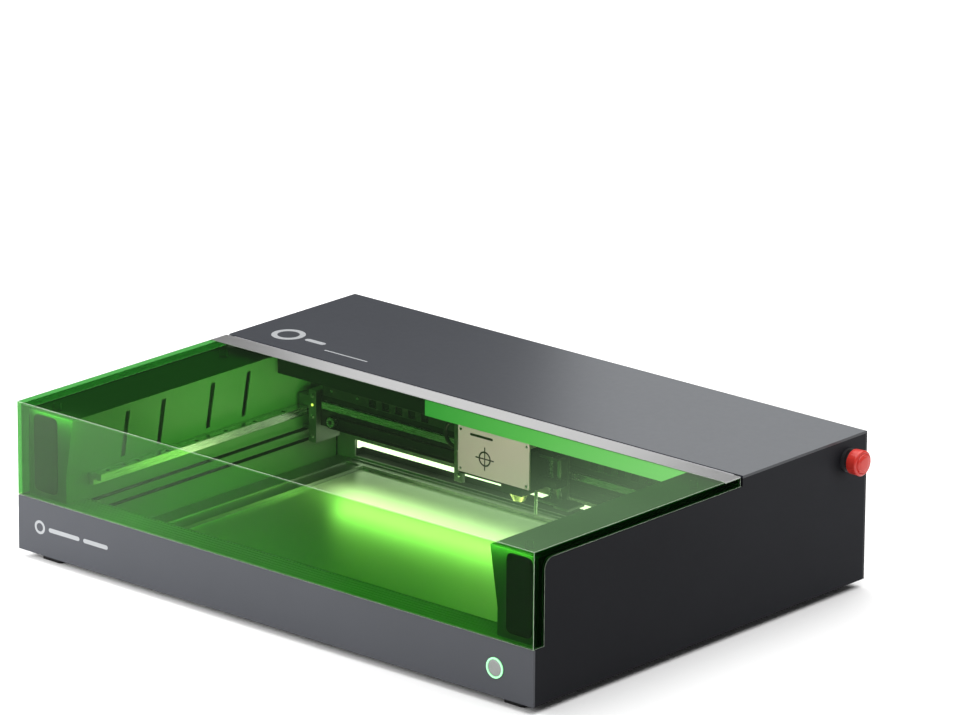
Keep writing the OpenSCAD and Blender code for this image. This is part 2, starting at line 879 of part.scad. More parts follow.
module lens() {
    color([0.8, 0.9, 1, 0.5]) rod_z(nozzle_z + 4, nozzle_z + 7, nozzle_x, nozzle_y, lens_r);
}

module focus_probe() {
    color([0.85, 0.85, 0.87]) rod_z(60, 110, probe_x, probe_y, probe_r);
}

// Moves a sub-part from the middle of the case to the origin of the machine.
module placed() {
    translate([case_x, case_y, 0]) children();
}

placed() base_pan();
placed() feet();
placed() front_panel();
placed() left_side_panel();
placed() right_side_panel();
placed() rear_panel();
placed() hood();
placed() inner_casings();
placed() rear_inner_wall();
placed() front_sill();
placed() bed_frame();
placed() bed_plate();
placed() lower_light_bar();
placed() lower_light_tube();
placed() upper_light_bar();
placed() y_rails();
placed() y_belts();
placed() y_motor();
placed() belt_bearings();
placed() exhaust_fan_housing();
placed() duct_spigot();
placed() power_supply();
placed() main_board();
placed() power_inlet();
placed() estop_collar();
placed() button_ring();
placed() case_hinge_leaf();
placed() hinge_pin();
placed() panel_screws();
placed() lid_bumpers();
placed() y_cross_shaft();
placed() y_idlers();
placed() exhaust_rotor();
placed() estop_stem();
placed() estop_cap();
placed() power_button();
placed() rocker_switch();
placed() lid_shell();
placed() hinge_strip();
placed() lid_hinge_leaf();
placed() x_beam();
placed() gantry_end_plates();
placed() x_rail();
placed() x_belt();
placed() x_motor();
placed() chain_tray();
placed() x_pulley();
placed() x_idler();
placed() head_carriage();
placed() cable_loop();
placed() z_motor();
placed() z_guide_rod();
placed() z_screw();
placed() focus_probe();
placed() laser_body();
placed() laser_cover();
placed() heat_sink();
placed() nozzle();
placed() lens();
placed() module_fan();
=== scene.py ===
import math

import bmesh
import bpy
from mathutils import Matrix, Vector


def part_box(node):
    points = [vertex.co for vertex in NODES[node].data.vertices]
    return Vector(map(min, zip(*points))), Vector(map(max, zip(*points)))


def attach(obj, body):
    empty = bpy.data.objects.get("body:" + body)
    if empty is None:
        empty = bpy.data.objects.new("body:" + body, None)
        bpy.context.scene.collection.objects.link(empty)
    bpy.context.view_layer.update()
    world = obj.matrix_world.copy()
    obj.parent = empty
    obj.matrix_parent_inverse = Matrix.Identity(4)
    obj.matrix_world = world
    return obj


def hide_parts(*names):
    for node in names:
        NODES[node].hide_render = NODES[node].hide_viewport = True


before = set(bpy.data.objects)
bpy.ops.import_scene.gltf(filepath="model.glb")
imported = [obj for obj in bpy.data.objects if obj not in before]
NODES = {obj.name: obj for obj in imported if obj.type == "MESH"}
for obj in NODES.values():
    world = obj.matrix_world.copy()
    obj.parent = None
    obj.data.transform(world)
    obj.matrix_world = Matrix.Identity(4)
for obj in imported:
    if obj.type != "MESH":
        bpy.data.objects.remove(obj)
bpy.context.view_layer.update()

MM = 0.001

# The middle of the case. The places below are millimetres from it, with Z counted from the ground.
CASE_X = (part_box("hood")[0].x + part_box("hood")[1].x) / 2
CASE_Y = (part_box("front_panel")[0].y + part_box("rear_panel")[1].y) / 2


def at(x, y, z):
    """A point in millimetres from the middle of the case, in the frame's metres."""
    return Vector((CASE_X + x * MM, CASE_Y + y * MM, z * MM))


def ends(node):
    """The lowest and highest X, Y and Z of a CAD node, in the same millimetres as at()."""
    return [((v.x - CASE_X) / MM, (v.y - CASE_Y) / MM, v.z / MM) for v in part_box(node)]


FRONT_Y = ends("front_panel")[0][1]
HOOD_TOP = ends("hood")[1][2]
COVER_Y = ends("laser_cover")[0][1]
TRAY_Y = ends("chain_tray")[0][1]
END_PLATE_X, END_PLATE_Y = 292.8, ends("gantry_end_plates")[0][1]
BED_TOP = ends("bed_plate")[1][2]
BUTTON = at(329, FRONT_Y, 41.5)
BAND_LEFT, BAND_RIGHT = (at(end[0], 0, 0).x for end in ends("upper_light_bar"))


# ---- Materials ----

class Graph:
    """A material's node tree with short calls for the nodes that these materials share."""

    def __init__(self, name):
        self.mat = bpy.data.materials.new(name)
        self.mat.use_nodes = True
        self.nodes = self.mat.node_tree.nodes
        self.links = self.mat.node_tree.links
        self.bsdf = self.nodes["Principled BSDF"]
        self.out = self.nodes["Material Output"]
        self.coords = self.nodes.new("ShaderNodeTexCoord")

    def put(self, socket, value):
        if isinstance(value, bpy.types.NodeSocket):
            self.links.new(value, socket)
        else:
            socket.default_value = value

    def mapped(self, stretch):
        node = self.nodes.new("ShaderNodeMapping")
        node.inputs["Scale"].default_value = stretch
        self.links.new(self.coords.outputs["Object"], node.inputs["Vector"])
        return node.outputs["Vector"]

    def noise(self, scale, detail=4.0, rough=0.55, stretch=(1, 1, 1)):
        node = self.nodes.new("ShaderNodeTexNoise")
        node.inputs["Scale"].default_value = scale
        node.inputs["Detail"].default_value = detail
        node.inputs["Roughness"].default_value = rough
        self.links.new(self.mapped(stretch), node.inputs["Vector"])
        return node.outputs["Fac"]

    def math(self, operation, first, second=0.0):
        node = self.nodes.new("ShaderNodeMath")
        node.operation = operation
        self.put(node.inputs[0], first)
        self.put(node.inputs[1], second)
        return node.outputs["Value"]

    def ramp(self, socket, start, end, low, high):
        """A value that runs evenly from low at start to high at end."""
        node = self.nodes.new("ShaderNodeMapRange")
        node.inputs["From Min"].default_value = start
        node.inputs["From Max"].default_value = end
        node.inputs["To Min"].default_value = low
        node.inputs["To Max"].default_value = high
        self.links.new(socket, node.inputs["Value"])
        return node.outputs["Result"]

    def parts(self, output):
        """X, Y and Z of one of the object's own coordinates."""
        node = self.nodes.new("ShaderNodeSeparateXYZ")
        self.links.new(self.coords.outputs[output], node.inputs[0])
        return node.outputs

    def spread(self, socket, low, high):
        """A 0 to 1 pattern, stretched to run from low to high."""
        node = self.nodes.new("ShaderNodeMapRange")
        node.inputs["From Min"].default_value = 0.3
        node.inputs["From Max"].default_value = 0.7
        node.inputs["To Min"].default_value = low
        node.inputs["To Max"].default_value = high
        self.links.new(socket, node.inputs["Value"])
        return node.outputs["Result"]

    def mix(self, factor, first, second):
        node = self.nodes.new("ShaderNodeMix")
        node.data_type = "RGBA"
        self.put(node.inputs["Factor"], factor)
        self.put(node.inputs[6], first)
        self.put(node.inputs[7], second)
        return node.outputs[2]

    def bump(self, socket, strength, distance=0.0002):
        node = self.nodes.new("ShaderNodeBump")
        node.inputs["Strength"].default_value = strength
        node.inputs["Distance"].default_value = distance
        self.links.new(socket, node.inputs["Height"])
        self.links.new(node.outputs["Normal"], self.bsdf.inputs["Normal"])

    def let_through(self, through, gloss):
        """Lets the light through the piece, under as much of its surface as gloss says."""
        mixer = self.nodes.new("ShaderNodeMixShader")
        self.put(mixer.inputs["Fac"], gloss)
        self.links.new(through.outputs["BSDF"], mixer.inputs[1])
        self.links.new(self.bsdf.outputs["BSDF"], mixer.inputs[2])
        self.links.new(mixer.outputs["Shader"], self.out.inputs["Surface"])

    def edges(self, width):
        """1 along the rims of a piece and 0 on its faces, for rims painted lighter as a highlight."""
        bevel = self.nodes.new("ShaderNodeBevel")
        bevel.samples = 4
        bevel.inputs["Radius"].default_value = width
        geometry = self.nodes.new("ShaderNodeNewGeometry")
        dot = self.nodes.new("ShaderNodeVectorMath")
        dot.operation = "DOT_PRODUCT"
        self.links.new(bevel.outputs["Normal"], dot.inputs[0])
        self.links.new(geometry.outputs["Normal"], dot.inputs[1])
        node = self.nodes.new("ShaderNodeMapRange")
        node.inputs["From Min"].default_value = 0.995
        node.inputs["From Max"].default_value = 0.8
        self.links.new(dot.outputs["Value"], node.inputs["Value"])
        return node.outputs["Result"]


def shade(colour, amount):
    """A colour made lighter or darker, with alpha."""
    return tuple(min(1.0, c * amount) for c in colour[:3]) + (1.0,)


def coated(name, colour, rough=0.4, grain=0.12, grain_scale=900, specular=0.5, rim_highlight=1.25):
    """Powder-coated or moulded surface: fine orange-peel grain, with rims painted lighter as a highlight."""
    g = Graph(name)
    g.put(g.bsdf.inputs["Specular IOR Level"], specular)
    cloud = g.spread(g.noise(9, 3), 0.0, 1.0)
    field = g.mix(cloud, shade(colour, 0.96), shade(colour, 1.04))
    # Painted highlight: the rims are drawn lighter than the faces.
    g.put(g.bsdf.inputs["Base Color"], g.mix(g.edges(0.0006), field, shade(colour, rim_highlight)))
    g.put(g.bsdf.inputs["Roughness"], g.spread(g.noise(140, 5), rough - 0.012, rough + 0.015))
    g.bump(g.noise(grain_scale, 3), grain)
    return g.mat


def brushed(name, colour, rough=0.32, along=(1, 40, 40), metallic=1.0, depth=0.1, scale=60):
    """Metal with fine grinding lines along one axis."""
    g = Graph(name)
    g.put(g.bsdf.inputs["Metallic"], metallic)
    lines = g.noise(scale, 6, 0.7, along)
    tone = g.mix(g.spread(lines, 0.0, 1.0), shade(colour, 0.9), shade(colour, 1.06))
    g.put(g.bsdf.inputs["Base Color"], tone)
    g.put(g.bsdf.inputs["Roughness"], g.spread(lines, rough - 0.06, rough + 0.08))
    g.bump(lines, depth, 0.0001)
    return g.mat


def rubber(name, colour):
    g = Graph(name)
    g.put(g.bsdf.inputs["Specular IOR Level"], 0.3)
    tone = g.mix(g.spread(g.noise(50, 4), 0, 1), shade(colour, 0.8), shade(colour, 1.3))
    g.put(g.bsdf.inputs["Base Color"], tone)
    g.put(g.bsdf.inputs["Roughness"], g.spread(g.noise(300, 3), 0.7, 0.9))
    g.bump(g.noise(1500, 2), 0.2)
    return g.mat


def glowing(name, colour, light, strength):
    """A lit opal plastic: a little mottled where the lamps behind it are closer."""
    g = Graph(name)
    tone = g.mix(g.spread(g.noise(60, 2), 0, 1), shade(colour, 0.95), shade(colour, 1.0))
    g.put(g.bsdf.inputs["Base Color"], tone)
    g.put(g.bsdf.inputs["Roughness"], 0.4)
    g.put(g.bsdf.inputs["Emission Color"], light + (1.0,))
    g.put(g.bsdf.inputs["Emission Strength"], strength)
    g.bump(g.noise(800, 2), 0.05)
    return g.mat


def clear_glass(name, tint, body):
    """Polished clear piece: light goes straight through, tinted, under a Fresnel gloss."""
    g = Graph(name)
    through = g.nodes.new("ShaderNodeBsdfTransparent")
    through.inputs["Color"].default_value = tint + (1.0,)
    # Painted glint: the rims are drawn 2.2 times lighter than the body.
    g.put(g.bsdf.inputs["Base Color"], g.mix(g.edges(0.0008), shade(body, 1.0), shade(body, 2.2)))
    g.put(g.bsdf.inputs["Roughness"], g.spread(g.noise(6, 2), 0.02, 0.06))
    fresnel = g.nodes.new("ShaderNodeFresnel")
    fresnel.inputs["IOR"].default_value = 1.35
    g.let_through(through, fresnel.outputs["Fac"])
    return g.mat


def lid_acrylic():
    """Green sheet, tinted face by face as painted shade: the wide top is pale to look through, the front is
    deeper and the narrow flanges are nearly black green. Daylight that reaches the inside has turned green.
    Its cut edges are painted pale as a highlight, and a painted reflection lies over the left of the front
    and the right of the top."""
    g = Graph("lid_acrylic")
    _, front, flat = (g.math("ABSOLUTE", part) for part in g.parts("Normal"))
    on_front = g.math("GREATER_THAN", front, LID_FACING)
    on_top = g.math("GREATER_THAN", flat, LID_FACING)
    # Painted shade: one sheet, tinted by which way each face looks.
    painted_face_tint = g.mix(on_top, LID_FLANGE_SHADE, LID_TOP)
    painted_face_tint = g.mix(on_front, painted_face_tint, LID_FRONT)
    rays = g.nodes.new("ShaderNodeLightPath")
    through = g.nodes.new("ShaderNodeBsdfTransparent")
    g.put(through.inputs["Color"], g.mix(rays.outputs["Is Camera Ray"], LID_DAYLIGHT, painted_face_tint))
    rim = g.edges(LID_RIM_WIDTH)
    x = g.parts("Object")[0]
    body = g.mix(g.math("MAXIMUM", on_top, on_front), LID_BODY, LID_PAINTED_REFLECTION)
    # Painted highlight: the cut edges are drawn pale.
    g.put(g.bsdf.inputs["Base Color"], g.mix(rim, body, LID_RIM_HIGHLIGHT))
    g.put(g.bsdf.inputs["Roughness"], g.spread(g.noise(6, 2), 0.03, 0.08))
    # Painted reflection: a pale veil over the left of the front and the right of the top.
    front_reflection = g.ramp(x, REFLECTION_LEFT, REFLECTION_MIDDLE, *LID_FRONT_REFLECTION)
    top_reflection = g.ramp(x, REFLECTION_MIDDLE, REFLECTION_RIGHT, *LID_TOP_REFLECTION)
    painted_reflection = g.math("ADD", g.math("MULTIPLY", on_front, front_reflection), g.math("MULTIPLY", on_top, top_reflection))
    patchy_reflection = g.math("MULTIPLY", painted_reflection, g.spread(g.noise(3, 2), 0.8, 1.2))
    sheen = g.math("ADD", patchy_reflection, LID_GLOSS)
    g.let_through(through, g.math("ADD", sheen, g.math("MULTIPLY", rim, LID_RIM_GLOSS)))
    return g.mat


def spun(name, colour, centre):
    """Metal turned on a lathe: fine rings about the Y axis and a fan-shaped highlight."""
    g = Graph(name)
    g.put(g.bsdf.inputs["Metallic"], 1.0)
    g.put(g.bsdf.inputs["Anisotropic"], 0.75)
    x, _, z = g.parts("Object")
    dx = g.math("SUBTRACT", x, centre.x)
    dz = g.math("SUBTRACT", z, centre.z)
    radius = g.math("SQRT", g.math("ADD", g.math("MULTIPLY", dx, dx), g.math("MULTIPLY", dz, dz)))
    wave = g.math("SINE", g.math("MULTIPLY", radius, RING_DENSITY))
    rings = g.math("ADD", g.math("MULTIPLY", wave, 0.5), 0.5)
    g.put(g.bsdf.inputs["Base Color"], g.mix(rings, shade(colour, 0.85), shade(colour, 1.05)))
    g.put(g.bsdf.inputs["Roughness"], g.ramp(rings, 0, 1, 0.22, 0.3))
    tangent = g.nodes.new("ShaderNodeTangent")
    tangent.direction_type = "RADIAL"
    tangent.axis = "Y"
    g.links.new(tangent.outputs["Tangent"], g.bsdf.inputs["Tangent"])
    g.bump(rings, 0.08, 0.00005)
    return g.mat


def glow_band_painted_fade(name, colour, left, right, low, high):
    """An opal cover that glows, with painted light and shade: the glow runs dim at the left to bright at the
    right.
    """
    g = Graph(name)
    x, _, _ = g.parts("Object")
    g.put(g.bsdf.inputs["Base Color"], g.mix(g.noise(60, 2), shade(colour, 0.2), shade(colour, 0.24)))
    g.put(g.bsdf.inputs["Roughness"], 0.4)
    # Painted light and shade: the glow fades from low at the left to high at the right.
    g.put(g.bsdf.inputs["Emission Color"], g.mix(g.ramp(x, left, right, 0, 1), low, high))
    g.put(g.bsdf.inputs["Emission Strength"], 1.0)
    return g.mat


# The rings on a turned face, in radians per metre: one ring in about 0.3 mm.
RING_DENSITY = 22000.0

# Tints of one sheet, set face by face as painted shade: pale top, deeper front, nearly black green flanges.
LID_TOP = (0.8, 0.94, 0.72, 1)
LID_FRONT = (0.52, 0.88, 0.37, 1)
LID_FLANGE_SHADE = (0.07, 0.28, 0.08, 1)
LID_DAYLIGHT = (0.04, 0.28, 0.04, 1)
# The pale colour painted along the cut edges as a highlight.
LID_RIM_HIGHLIGHT = (0.75, 0.92, 0.7, 1)
LID_BODY = (0.06, 0.22, 0.06, 1)
# The colour of the painted reflection on the top and front.
LID_PAINTED_REFLECTION = (0.44, 0.64, 0.4, 1)
# A face belongs to the top or the front when its normal has this much of Z or Y.
LID_FACING = 0.7
LID_RIM_WIDTH = 1.2 * MM
# How much of the surface shows: all over, more along the rims as a painted highlight, and as a painted
# reflection from left to right.
LID_GLOSS, LID_RIM_GLOSS = 0.01, 0.8
LID_FRONT_REFLECTION, LID_TOP_REFLECTION = (0.08, 0.002), (0.003, 0.13)
REFLECTION_LEFT, REFLECTION_MIDDLE, REFLECTION_RIGHT = (at(x, 0, 0).x for x in (-390, 130, 320))

MATERIALS = {
    # One dark grey coat on every panel. The front's copy is painted lighter as painted light; the sides'
    # copy is painted darker, with almost no gloss, as painted shade.
    "front_coat_painted_light": coated("front_coat_painted_light", (0.043, 0.046, 0.055), 0.42, specular=0.4),
    "side_coat_painted_shade": coated("side_coat_painted_shade", (0.012, 0.0125, 0.0145), 0.5, specular=0.03),
    "rear_coat": coated("rear_coat", (0.022, 0.023, 0.026), 0.5, specular=0.2),
    "hood_coat": coated("hood_coat", (0.026, 0.029, 0.036), 0.3, 0.005, specular=0.45),
    "base_coat": coated("base_coat", (0.02, 0.02, 0.022), 0.6),
    "inner_plastic": coated("inner_plastic", (0.24, 0.245, 0.245), 0.45, 0.2, 1400, rim_highlight=1.9),
    "black_plastic": coated("black_plastic", (0.02, 0.02, 0.022), 0.45, 0.2, 1200),
    "tray_plastic": coated("tray_plastic", (0.09, 0.095, 0.09), 0.45, 0.2, 1200),
    "bed_satin": brushed("bed_satin", (0.72, 0.73, 0.74), 0.36, (1, 30, 30), 0.5),
    "frame_satin": brushed("frame_satin", (0.4, 0.41, 0.42), 0.4, (1, 30, 30)),
    "rail_steel": brushed("rail_steel", (0.72, 0.73, 0.75), 0.25, (30, 1, 30)),
    "rail_steel_x": brushed("rail_steel_x", (0.72, 0.73, 0.75), 0.25, (1, 30, 30)),
    "strip_brushed": brushed("strip_brushed", (0.36, 0.36, 0.36), 0.33, (1, 60, 60)),
    "hinge_steel": brushed("hinge_steel", (0.3, 0.3, 0.31), 0.35, (1, 30, 30)),
    "bracket_metal": brushed("bracket_metal", (0.3, 0.31, 0.32), 0.42, (8, 8, 8)),
    "supply_metal": brushed("supply_metal", (0.6, 0.61, 0.62), 0.4, (1, 20, 20)),
    "anodised_black": coated("anodised_black", (0.025, 0.026, 0.028), 0.38, 0.1, 2000),
    "motor_black": coated("motor_black", (0.02, 0.02, 0.022), 0.4),
    "cover_plate": coated("cover_plate", (0.56, 0.54, 0.49), 0.35, 0.08),
    "estop_red": coated("estop_red", (0.62, 0.035, 0.025), 0.3, 0.05, 800, 0.5, 1.5),
    "circuit_board": coated("circuit_board", (0.02, 0.13, 0.05), 0.35, 0.3, 500),
    "belt_rubber": rubber("belt_rubber", (0.018, 0.018, 0.018)),
    "foot_rubber": rubber("foot_rubber", (0.02, 0.02, 0.021)),
    "nozzle_metal": brushed("nozzle_metal", (0.7, 0.6, 0.35), 0.25, (30, 30, 1)),
    "button_metal": spun("button_metal", (0.3, 0.31, 0.3), BUTTON),
    "tube_glow": glowing("tube_glow", (0.95, 1, 0.92), (0.96, 1.0, 0.9), 2.2),
    "ring_glow": glowing("ring_glow", (0.4, 0.9, 0.5), (0.25, 1.0, 0.35), 0.7),
    "dot_glow": glowing("dot_glow", (0.8, 0.8, 0.2), (0.9, 1.0, 0.2), 1.6),
    "bar_glow": glow_band_painted_fade("bar_glow", (0.6, 1, 0.6), BAND_LEFT, BAND_RIGHT,
                         (0.045, 0.31, 0.06, 1), (0.28, 0.76, 0.26, 1)),
    "mark_light": coated("mark_light", (0.3, 0.31, 0.32), 0.4, 0.05),
    "mark_dark": coated("mark_dark", (0.05, 0.06, 0.05), 0.5, 0.05),
    "lid_acrylic": lid_acrylic(),
    "bumper_gel": clear_glass("bumper_gel", (0.96, 0.97, 0.96), (0.5, 0.5, 0.5)),
    "lens_glass": clear_glass("lens_glass", (0.9, 0.95, 1.0), (0.1, 0.12, 0.15)),
}

FINISH = {
    "front_coat_painted_light": ["front_panel"],
    "side_coat_painted_shade": ["left_side_panel", "right_side_panel"],
    "rear_coat": ["rear_panel"],
    "hood_coat": ["hood"],
    "base_coat": ["base_pan"],
    "foot_rubber": ["feet"],
    "bumper_gel": ["lid_bumpers"],
    "lid_acrylic": ["lid_shell"],
    "strip_brushed": ["hinge_strip"],
    "inner_plastic": ["inner_casings", "rear_inner_wall", "front_sill"],
    "bed_satin": ["bed_plate"],
    "frame_satin": ["bed_frame"],
    "tray_plastic": ["chain_tray"],
    "black_plastic": ["lower_light_bar", "exhaust_fan_housing", "duct_spigot",
                      "power_inlet", "rocker_switch", "estop_collar", "cable_loop"],
    "bar_glow": ["upper_light_bar"],
    "tube_glow": ["lower_light_tube"],
    "rail_steel": ["y_rails"],
    "rail_steel_x": ["x_rail", "y_cross_shaft", "x_pulley", "x_idler", "y_idlers", "z_guide_rod",
                     "focus_probe", "estop_stem"],
    "motor_black": ["y_motor", "x_motor", "z_motor"],
    "bracket_metal": ["belt_bearings", "gantry_end_plates", "head_carriage"],
    "supply_metal": ["power_supply"],
    "circuit_board": ["main_board"],
    "ring_glow": ["button_ring"],
    "anodised_black": ["panel_screws", "x_beam", "laser_body", "heat_sink"],
    "hinge_steel": ["lid_hinge_leaf", "case_hinge_leaf", "hinge_pin"],
    "cover_plate": ["laser_cover"],
    "nozzle_metal": ["nozzle"],
    "lens_glass": ["lens"],
}


def paint(obj, material):
    obj.data.materials.clear()
    obj.data.materials.append(MATERIALS[material])


def soften(obj, width, segments=2):
    """Rounds the sharp rims of a piece and shades its curves smooth."""
    bevel = obj.modifiers.new("rims", "BEVEL")
    bevel.width = width
    bevel.segments = segments
    bevel.limit_method = "ANGLE"
    bevel.angle_limit = math.radians(35)
    bevel.harden_normals = True
    obj.data.polygons.foreach_set("use_smooth", [True] * len(obj.data.polygons))


for material, names in FINISH.items():
    for name in names:
        paint(NODES[name], material)

RIMS = {"front_panel": 0.5, "left_side_panel": 0.5, "right_side_panel": 0.5, "hood": 0.5,
        "rear_panel": 0.4, "lid_shell": 0.6, "hinge_strip": 0.3, "feet": 0.8,
        "inner_casings": 0.5, "bed_frame": 0.3, "laser_cover": 0.4, "gantry_end_plates": 0.5,
        "x_beam": 0.5, "chain_tray": 0.3, "head_carriage": 0.3, "laser_body": 0.4,
        "y_rails": 0.4, "x_rail": 0.4, "power_supply": 0.6, "x_motor": 1.0, "y_motor": 1.0,
        "z_motor": 0.8, "power_inlet": 0.5, "rocker_switch": 0.4, "heat_sink": 0.2}
for name, rim in RIMS.items():
    soften(NODES[name], rim * MM)


# ---- Pieces ----

def piece(name, points, faces, material, body, stands_for=(), smooth=True):
    """A closed mesh in the frame, that rides on a body and may stand for CAD nodes."""
    mesh = bpy.data.meshes.new(name)
    mesh.from_pydata([tuple(p) for p in points], [], faces)
    work = bmesh.new()
    work.from_mesh(mesh)
    bmesh.ops.recalc_face_normals(work, faces=work.faces)
    work.to_mesh(mesh)
    work.free()
    obj = bpy.data.objects.new(name, mesh)
    bpy.context.scene.collection.objects.link(obj)
    mesh.materials.append(MATERIALS[material])
    mesh.polygons.foreach_set("use_smooth", [smooth] * len(mesh.polygons))
    if smooth:
        sharp = obj.modifiers.new("creases", "EDGE_SPLIT")
        sharp.split_angle = math.radians(35)
    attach(obj, body)
    if stands_for:
        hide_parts(*stands_for)
    return obj


class Solid:
    """Collects closed shapes for one piece."""

    def __init__(self):
        self.points = []
        self.faces = []

    def add(self, points, faces):
        base = len(self.points)
        self.points += points
        self.faces += [tuple(base + i for i in face) for face in faces]

    def rings(self, rows):
        """Rows of equally many points, joined into a tube that is closed at both ends."""
        count = len(rows[0])
        faces = []
        for r in range(len(rows) - 1):
            for i in range(count):
                j = (i + 1) % count
                faces.append((r * count + i, r * count + j, (r + 1) * count + j, (r + 1) * count + i))
        faces.append(tuple(range(count - 1, -1, -1)))
        faces.append(tuple((len(rows) - 1) * count + i for i in range(count)))
        self.add([p for row in rows for p in row], faces)

    def lathe(self, profile, centre, axis, count=64, wobble=None):
        """A profile of (radius, distance along the axis), turned about a line through centre."""
        rows = []
        for radius, reach in profile:
            row = []
            for i in range(count):
                turn = 2 * math.pi * i / count
                r = radius * (wobble(turn, reach) if wobble else 1.0)
                row.append(centre + on_axis(axis, r * math.cos(turn), r * math.sin(turn), reach))
            rows.append(row)
        self.rings(rows)

    def prism(self, outline, place):
        """A flat outline and its thickness: place(a, b, t) gives the point at thickness t, 0 or 1."""
        self.rings([[place(a, b, t) for a, b in outline] for t in (0, 1)])

    def band(self, outer, inner, place):
        """A flat ring between two outlines."""
        count = len(outer)
        points = [place(a, b, t) for t in (0, 1) for loop in (outer, inner) for a, b in loop]
        faces = []
        for i in range(count):
            j = (i + 1) % count
            low_out, low_in, top_out, top_in = 0, count, 2 * count, 3 * count
            faces.append((low_out + i, low_out + j, low_in + j, low_in + i))
            faces.append((top_out + i, top_out + j, top_in + j, top_in + i))
            faces.append((low_out + i, low_out + j, top_out + j, top_out + i))
            faces.append((low_in + i, low_in + j, top_in + j, top_in + i))
        self.add(points, faces)


def on_axis(axis, a, b, along):
    """Millimetres across and along an axis, as a vector in metres."""
    order = {"X": (along, a, b), "Y": (a, along, b), "Z": (a, b, along)}
    return Vector(order[axis]) * MM


def pill(x, y, width, height, steps=10):
    """A bar with round ends, as an outline."""
    r = height / 2
    outline = []
    for side, start in ((1, -90), (-1, 90)):
        for i in range(steps + 1):
            turn = math.radians(start + 180 * i / steps)
            outline.append((x + side * (width / 2 - r) + r * math.cos(turn), y + r * math.sin(turn)))
    return outline


def rounded(x, y, width, height, r, steps=6):
    """A rectangle with round corners, as an outline."""
    outline = []
    for i, (a, b) in enumerate(((1, 1), (-1, 1), (-1, -1), (1, -1))):
        for k in range(steps + 1):
            turn = math.radians(90 * i + 90 * k / steps)
            outline.append((x + a * (width / 2 - r) + r * math.cos(turn),
                            y + b * (height / 2 - r) + r * math.sin(turn)))
    return outline


def circle(x, y, r, steps=40):
    return [(x + r * math.cos(2 * math.pi * i / steps), y + r * math.sin(2 * math.pi * i / steps))
            for i in range(steps)]


def marks():
    """Plain shapes where the case is printed: rings, bars and a cross, with no lettering."""
    print_t = 0.05

    def front(a, b, t):
        return at(a, FRONT_Y - print_t * t, b)

    def top(a, b, t):
        return at(a, b, HOOD_TOP + print_t * t)

    def cover(a, b, t):
        return at(a, COVER_Y - print_t * t, b)

    shape = Solid()
    row = 42
    shape.band(circle(-349, row, 8), circle(-349, row, 5), front)
    shape.prism(pill(-311, row, 48, 5), front)
    shape.prism(pill(-262, row, 38, 5), front)
    piece("front_mark", shape.points, shape.faces, "mark_light", "enclosure", smooth=False)
    shape = Solid()
    row = 108
    shape.band(circle(-330, row, 20), circle(-330, row, 13), top)
    shape.prism(pill(-288, row, 30, 8), top)
    shape.prism(pill(-226, row - 16, 66, 2.4), top)
    piece("hood_mark", shape.points, shape.faces, "mark_light", "enclosure", smooth=False)
    shape = Solid()
    x, z = 5, 116
    shape.band(circle(x, z, 9), circle(x, z, 7), cover)
    shape.prism(pill(x, z, 28, 1.6), cover)
    shape.prism([(x + b - z, z + a - x) for a, b in pill(x, z, 28, 1.6)], cover)
    shape.prism(pill(0, 141, 34, 3), cover)
    piece("cover_mark", shape.points, shape.faces, "mark_dark", "laser_module", smooth=False)


def estop():
    """The red cap: a fluted skirt, a rolled shoulder and a ring around a low dome."""
    profile = [(0.01, 10.3), (6.05, 10.3), (6.05, 8.5), (9.5, 8.5), (9.5, 0), (13.2, 0), (14.0, 0.5),
               (14.2, 2), (14.7, 10.4), (14.75, 11.2), (14.4, 12.4), (13.6, 13.2), (12.4, 13.5),
               (11.3, 13.3), (10.9, 12.9), (10.7, 14.2), (10.2, 14.9), (9.2, 15.3), (8.6, 15.1),
               (7.9, 15.5), (5, 15.9), (0.01, 16)]
    flute_count, flute_depth = 24, 0.012
    skirt_start, skirt_end = 1.5, 10.8

    def flutes(turn, reach):
        if not skirt_start < reach < skirt_end:
            return 1.0
        return 1 - flute_depth * (0.5 - 0.5 * math.cos(flute_count * turn))

    shape = Solid()
    shape.lathe(profile, at(390.5, 247, 157), "X", 96, flutes)
    piece("estop_cap_detail", shape.points, shape.faces, "estop_red", "stop_cap", ("estop_cap",))


def power_button():
    """The turned face of the power button, a little hollow, with a rounded rim."""
    profile = [(0.01, -0.75), (6, -0.85), (8.4, -1.0), (9.2, -0.8), (9.6, -0.3), (9.6, 10.5), (0.01, 10.5)]
    shape = Solid()
    shape.lathe(profile, BUTTON, "Y", 72)
    piece("power_button_detail", shape.points, shape.faces, "button_metal", "button", ("power_button",))


def lead_screw():
    """A four-start screw with 2 mm between its threads."""
    low, high = (end[2] for end in ends("z_screw"))
    x, y, radius, depth = 82, 95, 2.95, 0.7
    starts, spacing, count = 4, 2, 32
    steps = round((high - low) / 0.25)
    rows = []
    for k in range(steps + 1):
        z = low + (high - low) * k / steps
        row = []
        for i in range(count):
            turn = 2 * math.pi * i / count
            phase = (z / spacing - starts * i / count) % 1.0
            groove = 1.6 * (1 - abs(2 * phase - 1)) - 0.3
            r = radius - depth * min(1.0, max(0.0, groove))
            row.append(at(x + r * math.cos(turn), y + r * math.sin(turn), z))
        rows.append(row)
    shape = Solid()
    shape.rings(rows)
    piece("lead_screw_thread", shape.points, shape.faces, "rail_steel_x", "lead_screw", ("z_screw",))


